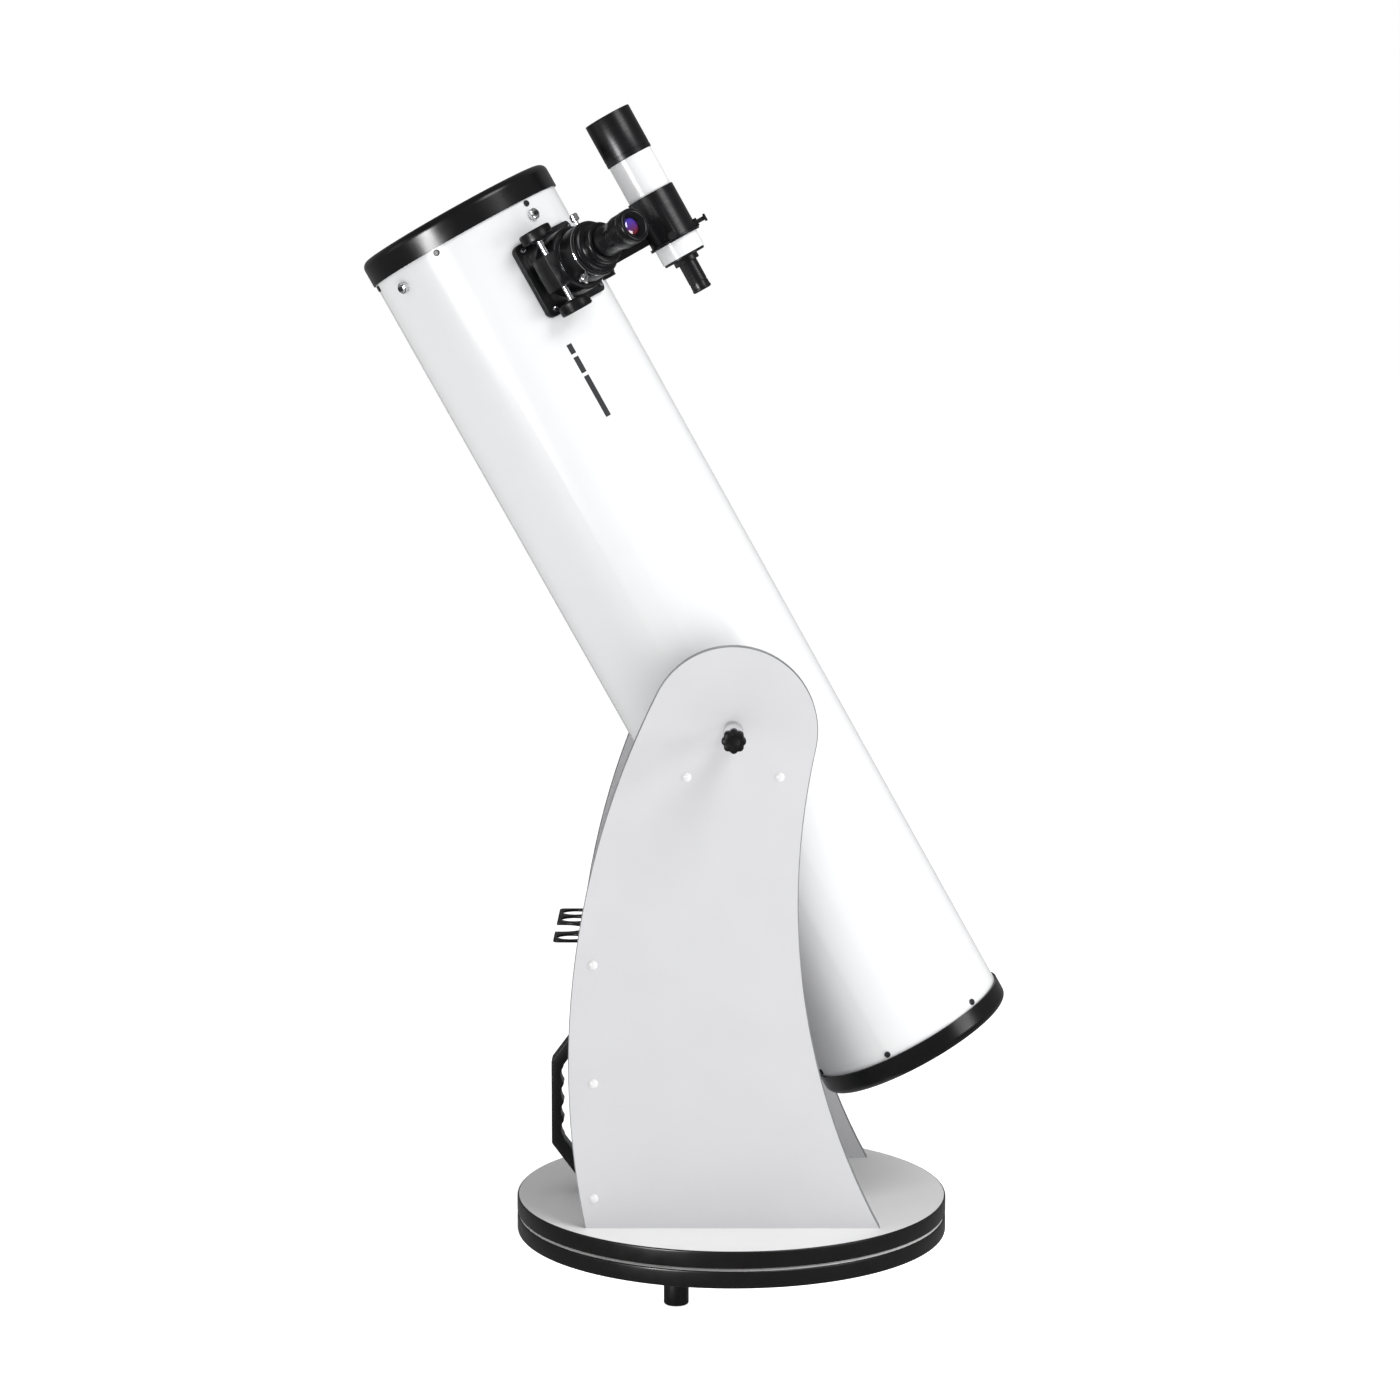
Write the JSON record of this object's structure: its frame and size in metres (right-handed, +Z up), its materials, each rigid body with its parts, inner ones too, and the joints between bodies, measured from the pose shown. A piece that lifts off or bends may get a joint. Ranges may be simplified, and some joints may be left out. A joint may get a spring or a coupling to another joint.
{
  "type": "dobsonian reflector telescope",
  "caption": "Newtonian reflector with a white steel tube, focuser and finder, tilting on a two-sided rocker box that turns on a round ground board.",
  "frame": {"origin": "where the azimuth axis meets the floor that the feet stand on", "axes": "+Z up along the azimuth axis, Y along the altitude axis, -X the side of the carry handle and eyepiece rack, towards which the tube leans"},
  "size_m": [0.748, 0.5116, 1.3549],
  "materials": {
    "white_tube_paint": "glossy white paint",
    "white_board": "white melamine board",
    "pale_edge": "pale edge band",
    "black_edge": "black edge band",
    "black_plastic": "satin black",
    "black_paint": "satin black paint",
    "black_rubber": "matt",
    "bright_chrome": "polished",
    "steel": "zinc plated",
    "white_plastic": "white nylon",
    "cast_aluminium": "black anodised",
    "bare_aluminium": "satin",
    "mirror_coat": "aluminised glass",
    "lens_glass": "coated glass",
    "white_finder_paint": "glossy white paint"
  },
  "bodies": {
    "ground": {"ground_board": "white_board", "ground_board_edging": "black_edge", "feet": "black_plastic", "foot_screws": "steel", "azimuth_pads": "white_plastic", "pivot_bolt": "steel", "pivot_nut": "steel"},
    "rocker": {"top_board": "white_board", "top_board_edging": "black_edge", "pivot_bush": "white_plastic", "side_panel_near": "white_board", "side_panel_far": "white_board", "panel_edging": "pale_edge", "front_board": "white_board", "front_board_edging": "black_edge", "furniture_screws": "steel", "screw_caps": "white_plastic", "cradle_pads": "white_plastic", "carry_handle": "black_plastic", "eyepiece_rack": "black_plastic", "pan_screws": "steel"},
    "tube": {"main_tube": "white_tube_paint", "top_ring": "black_paint", "bottom_ring": "black_paint", "tube_screws": "steel", "altitude_bearings": "black_plastic", "spider": "cast_aluminium", "spider_nuts": "bright_chrome", "secondary_holder": "cast_aluminium", "secondary_mirror": "mirror_coat", "secondary_screws": "steel", "primary_mirror": "mirror_coat", "mirror_cell": "cast_aluminium", "mirror_clips": "black_rubber", "cell_plate": "cast_aluminium", "collimation_springs": "steel", "lock_screws": "steel", "focuser_base": "cast_aluminium", "finder_shoe": "cast_aluminium"},
    "tension_near": {"tension_knob_near": "black_plastic"},
    "tension_far": {"tension_knob_far": "black_plastic"},
    "drawtube": {"drawtube": "bright_chrome", "drawtube_collar": "cast_aluminium"},
    "focus_drive": {"focus_shaft": "bright_chrome", "focus_knobs": "cast_aluminium"},
    "clamp_up": {"collar_screw_up": "bright_chrome"},
    "clamp_side": {"collar_screw_side": "bright_chrome"},
    "adapter": {"eyepiece_adapter": "cast_aluminium"},
    "eyepiece": {"eyepiece_body": "cast_aluminium", "eyepiece_lens": "lens_glass"},
    "finder": {"finder_bracket": "cast_aluminium", "finder_tube": "white_finder_paint", "finder_eyepiece": "black_plastic"},
    "finder_front": {"finder_hood": "black_paint"},
    "adjuster_top": {"finder_adjuster_top": "black_plastic"},
    "adjuster_side": {"finder_adjuster_side": "black_plastic"},
    "plunger": {"finder_plunger": "bright_chrome"},
    "collimation_1": {"collimation_knob_1": "black_plastic"},
    "collimation_2": {"collimation_knob_2": "black_plastic"},
    "collimation_3": {"collimation_knob_3": "black_plastic"}
  },
  "joints": [
    {"name": "azimuth_turn", "type": "hinge", "parent": "ground", "child": "rocker", "pos_m": [0, 0, 0.0505], "axis": [0, 0, 1], "continuous": true},
    {"name": "altitude_tilt", "type": "hinge", "parent": "rocker", "child": "tube", "pos_m": [0, 0, 0.6505], "axis": [0, 1, 0], "range_deg": [-60.87, 29.13]},
    {"name": "tension_turn_near", "type": "hinge", "parent": "tube", "child": "tension_near", "pos_m": [0, -0.162, 0.6505], "axis": [0, -1, 0], "range_deg": [-30, 180]},
    {"name": "tension_turn_far", "type": "hinge", "parent": "tube", "child": "tension_far", "pos_m": [0, 0.162, 0.6505], "axis": [0, 1, 0], "range_deg": [-30, 180]},
    {"name": "focus_travel", "type": "slide", "parent": "tube", "child": "drawtube", "axis": [0.6177, -0.7071, 0.3442], "range_m": [-0.004, 0.035]},
    {"name": "focus_turn", "type": "hinge", "parent": "tube", "child": "focus_drive", "pos_m": [-0.19898, -0.12378, 1.16582], "axis": [-0.4868, 0, 0.8735], "range_deg": [-573.96, 66.48]},
    {"name": "clamp_turn_up", "type": "hinge", "parent": "drawtube", "child": "clamp_up", "pos_m": [-0.17571, -0.12374, 1.22], "axis": [-0.4868, 0, 0.8735], "range_deg": [0, 360]},
    {"name": "clamp_turn_side", "type": "hinge", "parent": "drawtube", "child": "clamp_side", "pos_m": [-0.16539, -0.14407, 1.15973], "axis": [-0.2003, -0.5647, -0.8006], "range_deg": [0, 360]},
    {"name": "adapter_out", "type": "slide", "parent": "drawtube", "child": "adapter", "axis": [0.6177, -0.7071, 0.3442], "range_m": [0, 0.022]},
    {"name": "eyepiece_out", "type": "slide", "parent": "adapter", "child": "eyepiece", "axis": [0.6177, -0.7071, 0.3442], "range_m": [0, 0.03]},
    {"name": "finder_out", "type": "slide", "parent": "tube", "child": "finder", "axis": [0.4868, 0, -0.8735], "range_m": [0, 0.06]},
    {"name": "finder_focus", "type": "hinge", "parent": "finder", "child": "finder_front", "pos_m": [-0.12811, 0, 1.31178], "axis": [-0.4868, 0, 0.8735], "range_deg": [-180, 180]},
    {"name": "adjuster_turn_top", "type": "hinge", "parent": "finder", "child": "adjuster_top", "pos_m": [-0.03402, 0, 1.22512], "axis": [0.8735, 0, 0.4868], "range_deg": [-360, 360]},
    {"name": "adjuster_turn_side", "type": "hinge", "parent": "finder", "child": "adjuster_side", "pos_m": [-0.06896, -0.04, 1.20565], "axis": [0, -1, 0], "range_deg": [-360, 360]},
    {"name": "plunger_travel", "type": "slide", "parent": "finder", "child": "plunger", "axis": [-0.6177, 0.7071, -0.3442], "range_m": [0, 0.003], "stiffness_N_per_m": 800, "springref_m": -0.004},
    {"name": "collimation_turn_1", "type": "hinge", "parent": "tube", "child": "collimation_1", "pos_m": [0.21808, 0.075, 0.25916], "axis": [-0.4868, 0, 0.8735], "range_deg": [-180, 180]},
    {"name": "collimation_turn_2", "type": "hinge", "parent": "tube", "child": "collimation_2", "pos_m": [0.16135, -0.0375, 0.22755], "axis": [-0.4868, 0, 0.8735], "range_deg": [-180, 180]},
    {"name": "collimation_turn_3", "type": "hinge", "parent": "tube", "child": "collimation_3", "pos_m": [0.27482, -0.0375, 0.29078], "axis": [-0.4868, 0, 0.8735], "range_deg": [-180, 180]}
  ],
  "couplings": [
    {"joint": "focus_turn", "follows": "focus_travel", "rad_per_m": -285.71}
  ]
}
